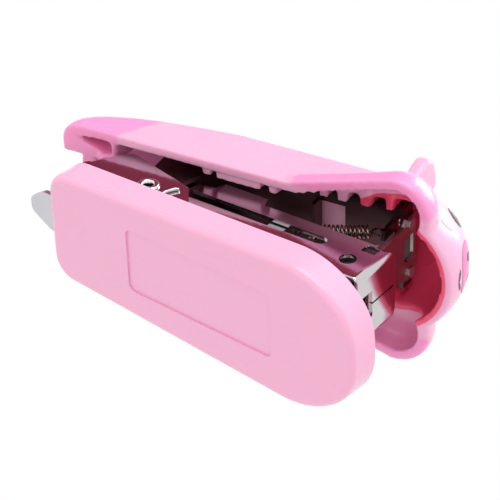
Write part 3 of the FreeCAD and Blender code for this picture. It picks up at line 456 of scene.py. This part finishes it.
def printed_patch(name, azimuth, elevation, wide, tall, mat, lift=0.05, turn=0.0, power=2.0):
    """An oval film of ink on the head. wide and tall are half sizes in mm."""
    ahead = head_direction(azimuth, elevation)
    side = Vector((0, 0, 1)).cross(ahead).normalized()
    up = ahead.cross(side)
    bm = bmesh.new()
    rings, sides = 10, 40
    grid = []
    for r in range(rings + 1):
        ring = []
        for k in range(sides):
            a = 2 * math.pi * k / sides
            c, s = math.cos(a), math.sin(a)
            reach = (abs(c) ** power + abs(s) ** power) ** (-1 / power) * r / rings
            x, z = wide * c * reach, tall * s * reach
            x, z = x * math.cos(turn) - z * math.sin(turn), x * math.sin(turn) + z * math.cos(turn)
            p = ahead * HEAD_RADIUS + side * x + up * z
            p = p.normalized() * (HEAD_RADIUS + lift)
            ring.append(bm.verts.new(cover_point(HEAD[0] + p.x, p.y, HEAD[2] + p.z)))
            if r == 0:
                break
        grid.append(ring)
    for k in range(sides):
        bm.faces.new((grid[0][0], grid[1][k], grid[1][(k + 1) % sides]))
    for here, ahead_ring in zip(grid[1:], grid[2:]):
        for k in range(sides):
            beside = (k + 1) % sides
            bm.faces.new((here[k], ahead_ring[k], ahead_ring[beside], here[beside]))
    patch = piece_from(bm, name)
    patch.data.materials.append(mat)
    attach(patch, "cover")
    return patch


snout_ink = moulded_plastic("snout_pink_ink", (0.86, 0.17, 0.42), gloss=0.3)
cheek_ink = moulded_plastic("cheek_pink_ink", (0.90, 0.24, 0.46), gloss=0.3)
dark_ink = moulded_plastic("eye_dark_ink", (0.012, 0.010, 0.014), shade=0.6, gloss=0.2)
# The brown and white inks are painted highlights on the eyes.
painted_highlight_brown = moulded_plastic("eye_brown_ink", (0.10, 0.035, 0.018), shade=0.7, gloss=0.2)
painted_highlight_white = moulded_plastic("eye_white_ink", (0.9, 0.9, 0.9), gloss=0.25)
nostril_ink = moulded_plastic("nostril_ink", (0.05, 0.035, 0.09), shade=0.7, gloss=0.25)
printed_patch("snout_print", 0, 18, 4.5, 3.3, snout_ink, lift=0.04, power=2.3)
for side_name, side in (("left", 1), ("right", -1)):
    printed_patch(f"nostril_{side_name}", side * 9.5, 19, 0.62, 1.05, nostril_ink, lift=0.09)
    printed_patch(f"eye_{side_name}", side * 41, 34, 1.75, 2.15, dark_ink, lift=0.05)
    # The brown and white spots on each eye are painted highlights.
    printed_patch(f"painted_brown_highlight_{side_name}", side * 40.5, 31.5, 1.15, 1.2, painted_highlight_brown, lift=0.08)
    printed_patch(f"painted_white_highlight_{side_name}", side * 37.5, 38.5, 0.6, 0.7, painted_highlight_white, lift=0.11)
    printed_patch(f"cheek_{side_name}", side * 47, 12, 2.0, 1.5, cheek_ink, lift=0.04)
    printed_patch(f"mouth_{side_name}", side * 4.6, -3.0, 1.0, 0.2, nostril_ink, lift=0.06,
                  turn=side * 0.35)

# Studio: a pale desk top under the stapler, a white sweep all round, and soft lamps.
# The desk is seen only from above, so that a camera under it still sees the stapler.
desk_bm = bmesh.new()
DESK_HALF = 2
for x, y in ((-1, -1), (1, -1), (1, 1), (-1, 1)):
    desk_bm.verts.new((x * DESK_HALF, y * DESK_HALF, 0))
desk_bm.faces.new(desk_bm.verts)
desk = piece_from(desk_bm, "pale_desk")
desk.location.z = -0.00005
desk_mat, desk_nodes, desk_links, desk_shader = new_material("pale_desk_top")
desk_shader.inputs["Base Color"].default_value = (0.88, 0.88, 0.88, 1)
desk_shader.inputs["Roughness"].default_value = 0.6
clear = desk_nodes.new("ShaderNodeBsdfTransparent")
which_side = desk_nodes.new("ShaderNodeNewGeometry")
both = desk_nodes.new("ShaderNodeMixShader")
desk_links.new(which_side.outputs["Backfacing"], both.inputs[0])
desk_links.new(desk_shader.outputs[0], both.inputs[1])
desk_links.new(clear.outputs[0], both.inputs[2])
desk_links.new(both.outputs[0], desk_nodes["Material Output"].inputs["Surface"])
desk.data.materials.append(desk_mat)
desk.visible_diffuse = False
desk.visible_glossy = False
desk.visible_shadow = False
desk.visible_transmission = False

world = bpy.data.worlds.new("white_sweep")
bpy.context.scene.world = world
world.use_nodes = True
sky_nodes, sky_links = world.node_tree.nodes, world.node_tree.links
sky = sky_nodes["Background"]
sky.inputs["Color"].default_value = (1, 1, 1, 1)
sky.inputs["Strength"].default_value = 1.0
bpy.context.scene.view_settings.view_transform = "Standard"


def soft_lamp(name, at, aim, size, power, colour=(1, 1, 1)):
    """A square soft box that points at the stapler. Places are in mm."""
    data = bpy.data.lights.new(name, "AREA")
    data.size = size * MM
    data.energy = power
    data.color = colour
    lamp = bpy.data.objects.new(name, data)
    lamp.location = Vector(at) * MM
    lamp.rotation_mode = "QUATERNION"
    lamp.rotation_quaternion = (Vector(aim) - Vector(at)).to_track_quat("-Z", "Y")
    bpy.context.scene.collection.objects.link(lamp)


soft_lamp("main_soft_box", (40, -420, 60), (15, 0, 15), 260, 0.75, (0.93, 1.0, 0.92))
soft_lamp("top_soft_box", (80, -120, 460), (15, 0, 15), 300, 1.6)

# Flag: a deep pink card beside the stapler that only the bright steel mirrors.
# It stands where a studio puts one to keep plated parts from going white.
FLAG_HALF = 0.17
FLAG_AWAY = 0.30
flag_bm = bmesh.new()
for x, y in ((-1, -1), (1, -1), (1, 1), (-1, 1)):
    flag_bm.verts.new((x * FLAG_HALF, y * FLAG_HALF, 0))
flag_bm.faces.new(flag_bm.verts)
flag = piece_from(flag_bm, "deep_pink_flag")
flag_way = Vector((-0.563, -0.545, 0.622))
flag.location = flag_way * FLAG_AWAY
flag.rotation_mode = "QUATERNION"
flag.rotation_quaternion = (-flag_way).to_track_quat("Z", "Y")
flag_mat, flag_nodes, flag_links, flag_shader = new_material("flag_card")
flag_shader.inputs["Base Color"].default_value = (0.05, 0.01, 0.02, 1)
flag_shader.inputs["Roughness"].default_value = 1.0
flag_shader.inputs["Emission Color"].default_value = (0.27, 0.02, 0.055, 1)
flag_shader.inputs["Emission Strength"].default_value = 0.9
flag.data.materials.append(flag_mat)
flag.visible_camera = False
flag.visible_diffuse = False
flag.visible_shadow = False
flag.visible_transmission = False

# Camera: a long lens, below and ahead of the stapler's right side.
# It is rolled so that the stapler seems to lie on its side.
RIGHT = Vector((0.75341, 0.02835, 0.65694))
DOWN = Vector((0.34017, 0.83818, -0.42630))
AHEAD = Vector((-0.56272, 0.54465, 0.62185))
turned = Matrix((RIGHT, -DOWN, -AHEAD)).transposed().to_quaternion().normalized()
lens = bpy.data.cameras.new("long_lens")
lens.sensor_width = 36
lens.lens = 146.89
lens.clip_start = 0.02
camera = bpy.data.objects.new("long_lens", lens)
camera.location = Vector((187.79, -166.81, -177.06)) * MM
camera.rotation_mode = "QUATERNION"
camera.rotation_quaternion = turned
bpy.context.scene.collection.objects.link(camera)
bpy.context.scene.camera = camera

bpy.context.view_layer.update()
